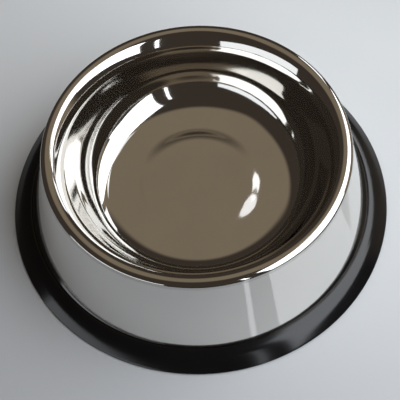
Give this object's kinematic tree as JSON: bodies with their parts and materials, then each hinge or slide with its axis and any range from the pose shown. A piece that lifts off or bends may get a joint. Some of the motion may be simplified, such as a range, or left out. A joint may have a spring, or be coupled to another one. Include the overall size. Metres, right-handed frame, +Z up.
{
  "type": "pet food bowl",
  "caption": "Low non-tip pet food bowl of polished steel with a rolled rim, a flared skirt and a black rubber foot ring that keeps it from sliding.",
  "frame": {"origin": "middle of the rubber ring's flat underside, on the table", "axes": "+Z up along the bowl's axis; the picture is seen from -Y, with +X to the right"},
  "size_m": [0.24, 0.24, 0.0605],
  "materials": {
    "bowl_steel": "polished",
    "skirt_steel": "polished",
    "black_rubber": "matte"
  },
  "bodies": {
    "root": {"feeding_bowl": "bowl_steel", "outer_skirt": "skirt_steel", "rubber_foot_ring": "black_rubber"}
  },
  "joints": []
}
